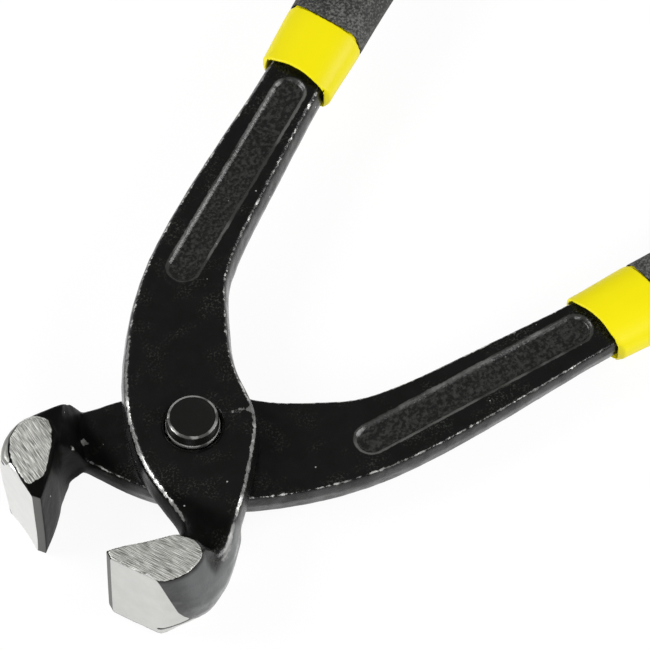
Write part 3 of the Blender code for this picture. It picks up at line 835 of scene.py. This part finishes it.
sleeve_plastic, tree, shader, place = new_material("sleeve plastic")
cloud = noise(tree, place, 120.0, 3.0, 0.5)
grain = placed(tree, fine_grain, Place=place, Scale=2400.0, Coarseness=0.5, Depth=0.00001)
feed(tree, shader, {
    "Base Color": mixed(tree, cloud, SLEEVE_YELLOW, SLEEVE_PALE), "Specular IOR Level": 0.3,
    "Roughness": blended(tree, grain["Grain"], 0.36, 0.46), "Normal": bumped(tree, grain["Height"]),
})


def eased_stations(along, values):
    """Values between the grip's stations, with a smooth swell."""
    result = np.full_like(along, values[0])
    for start, end, low, high in zip(GRIP_STATIONS, GRIP_STATIONS[1:], values, values[1:]):
        result += (high - low) * ramp(along, start, end)
    return result


def ovalled(piece, side, mouth):
    """Pull the outer skin of a grip piece in to a true oval, and sink its mouth above and below the shank."""
    places = places_of(piece.data)
    x, y, z = closed_frame(places, side)
    lift = z - GRIP_MIDDLE
    c = math.cos(HANDLE_LEAN)
    s = math.sin(HANDLE_LEAN)
    along = c * (x - COLLAR_FRONT[0]) + s * (y - COLLAR_FRONT[1])
    across = c * (y - COLLAR_FRONT[1]) - s * (x - COLLAR_FRONT[0])
    half_width = eased_stations(along, GRIP_HALF_WIDTHS)
    half_thickness = eased_stations(along, GRIP_HALF_THICKNESSES)
    reach = (np.abs(across) / half_width) ** OVAL_POWER + (np.abs(lift) / half_thickness) ** OVAL_POWER
    pull = ramp(reach, *OUTER_SKIN) * (np.maximum(reach, OVAL_CORE) ** (-1 / OVAL_POWER) - 1)
    pull = np.minimum(pull, 0.0)
    inside = ramp(-reach, *MOUTH_INSIDE) * ramp(-np.abs(across) / half_width, *MOUTH_WIDTH)
    backward = mouth * inside * np.clip(1 - along / MOUTH_REACH, 0.0, 1.0)
    if side == LOWER:
        backward -= (LOWER_FORWARD - LOWER_SLANT * across / half_width) * ramp(-along, *FORWARD_FADE)
    turn = side * (HALF_OPENING + HANDLE_LEAN)
    places[:, 0] += math.cos(turn) * backward - side * math.sin(turn) * across * pull
    places[:, 1] += math.sin(turn) * backward + side * math.cos(turn) * across * pull
    places[:, 2] += side * lift * pull
    moved(piece.data, places)


for sleeve_node, body, side in (
    ("lower_grip_sleeve", "lower_half", LOWER),
    ("upper_grip_sleeve", "upper_half", UPPER),
):
    sleeve_name = sleeve_node.replace("grip_", "")
    hidden_name = sleeve_node.replace("grip_", "hidden_")
    sleeve, hidden = split(sleeve_node, sleeve_name, hidden_name, side, SLEEVE_CUT)
    modified(sleeve, "REMESH", mode="VOXEL", voxel_size=SLEEVE_GRAIN)
    ovalled(sleeve, side, MOUTH_DEPTH)
    smoothed(sleeve, GRIP_PASSES)
    joined(sleeve, hidden)
    bpy.ops.object.shade_smooth_by_angle(angle=math.radians(50))
    sleeve.data.materials.clear()
    sleeve.data.materials.append(sleeve_plastic)
    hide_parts(sleeve_node)
    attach(sleeve, body)

# Grip covers
# A black rubbery cover is moulded over each sleeve, flush with the collar and closed at the butt.
# Its skin is matt and finely grained.

COVER_GRAIN = 0.00042
COVER_DARK = (0.014, 0.014, 0.013)
COVER_LIGHT = (0.150, 0.152, 0.142)

cover_rubber, tree, shader, place = new_material("cover rubber")
grain = placed(tree, fine_grain, Place=place, Scale=1900.0, Coarseness=0.65, Depth=0.0002)
cloud = noise(tree, place, 90.0, 3.0, 0.5)
tone = maths(tree, "ADD", maths(tree, "MULTIPLY", grain["Grain"], 0.75), maths(tree, "MULTIPLY", cloud, 0.25))
feed(tree, shader, {
    "Base Color": mixed(tree, stepped(tree, tone, 0.42, 0.64), COVER_DARK, COVER_LIGHT),
    "Roughness": blended(tree, grain["Grain"], 0.55, 0.8), "Normal": bumped(tree, grain["Height"]),
})

for cover_node, body, side in (
    ("lower_grip_cover", "lower_half", LOWER),
    ("upper_grip_cover", "upper_half", UPPER),
):
    cover = copied(cover_node, cover_node.replace("grip_", ""))
    modified(cover, "REMESH", mode="VOXEL", voxel_size=COVER_GRAIN)
    ovalled(cover, side, 0.0)
    smoothed(cover, GRIP_PASSES)
    bpy.ops.object.shade_smooth()
    cover.data.materials.clear()
    cover.data.materials.append(cover_rubber)
    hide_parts(cover_node)
    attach(cover, body)

# Floor and light
# A white sweep under three soft lights, on the left, on the right and in front of the jaws.
# The floor shows white to the camera and in reflections, and keeps a faint shadow.

FLOOR_HEIGHT = -0.00145
FLOOR_SIZE = 30.0

bpy.ops.object.select_all(action="DESELECT")
bpy.ops.mesh.primitive_plane_add(size=FLOOR_SIZE, location=(0, 0, FLOOR_HEIGHT))
floor = bpy.context.object
floor.name = "floor"
floor_paper = bpy.data.materials.new("floor paper")
floor_paper.use_nodes = True
tree = floor_paper.node_tree
tree.nodes.remove(tree.nodes["Principled BSDF"])
path = node(tree, "ShaderNodeLightPath")
seen = maths(tree, "MAXIMUM", path.outputs["Is Camera Ray"], path.outputs["Is Glossy Ray"])
seen = maths(tree, "MAXIMUM", seen, path.outputs["Is Transmission Ray"])
paper = node(tree, "ShaderNodeBsdfDiffuse", inputs={"Color": (0.8, 0.8, 0.8, 1.0)})
shaded = node(tree, "ShaderNodeBsdfDiffuse", inputs={"Color": (0.09, 0.09, 0.09, 1.0)})
glow = node(tree, "ShaderNodeEmission", inputs={"Color": (1.0, 1.0, 1.0, 1.0), "Strength": 0.925})
white = node(tree, "ShaderNodeAddShader", inputs={0: shaded.outputs[0], 1: glow.outputs[0]})
chosen = node(tree, "ShaderNodeMixShader", inputs={0: seen, 1: paper.outputs[0], 2: white.outputs[0]})
feed(tree, tree.nodes["Material Output"], {"Surface": chosen.outputs[0]})
floor.data.materials.append(floor_paper)

CAMERA_TURN = math.radians(48.506)
TARGET = Vector((0.03637, -0.00115, JOINT_HEIGHT))
away = Vector((math.sin(CAMERA_TURN), math.cos(CAMERA_TURN), 0.0))
right = Vector((math.cos(CAMERA_TURN), -math.sin(CAMERA_TURN), 0.0))
upright = Vector((0.0, 0.0, 1.0))


def soft_light(name, place, size, power):
    """Square area light that faces the tool."""
    lamp = bpy.data.lights.new(name, "AREA")
    lamp.shape = "SQUARE"
    lamp.size = size
    lamp.energy = power
    light = bpy.data.objects.new(name, lamp)
    bpy.context.collection.objects.link(light)
    light.location = TARGET + place
    light.rotation_euler = (-place).to_track_quat("-Z", "Y").to_euler()


soft_light("left softbox", -0.80 * right + 0.10 * away + 0.65 * upright, size=0.6, power=8.0)
soft_light("right softbox", 0.85 * right - 0.10 * away + 0.50 * upright, size=0.6, power=7.0)
soft_light("front softbox", -0.20 * right - 1.00 * away + 0.55 * upright, size=0.5, power=4.4)

world = bpy.data.worlds.new("studio")
bpy.context.scene.world = world
world.use_nodes = True
tree = world.node_tree
path = node(tree, "ShaderNodeLightPath")
feed(tree, tree.nodes["Background"], {
    "Color": (1.0, 1.0, 1.0, 1.0), "Strength": blended(tree, path.outputs["Is Camera Ray"], 0.16, 1.0),
})

# Camera
# A long lens looks down on the jaws' end from a little over a metre away.
# The tool lies across the picture and both grips run out of it.

CAMERA_TILT = math.radians(58.027)
CAMERA_ROLL = math.radians(0.490)
CAMERA_DISTANCE = 1.15956

lens = bpy.data.cameras.new("camera")
lens.sensor_width = 36.0
lens.lens = 332.31
lens.clip_end = 40.0
camera = bpy.data.objects.new("camera", lens)
bpy.context.collection.objects.link(camera)
look = math.cos(CAMERA_TILT) * away - math.sin(CAMERA_TILT) * upright
above = math.sin(CAMERA_TILT) * away + math.cos(CAMERA_TILT) * upright
across = math.cos(CAMERA_ROLL) * right + math.sin(CAMERA_ROLL) * above
above = math.cos(CAMERA_ROLL) * above - math.sin(CAMERA_ROLL) * right
axes = Matrix((across, above, -look)).transposed().to_4x4()
camera.matrix_world = Matrix.Translation(TARGET - CAMERA_DISTANCE * look) @ axes
bpy.context.scene.camera = camera
bpy.context.scene.view_settings.view_transform = "Standard"
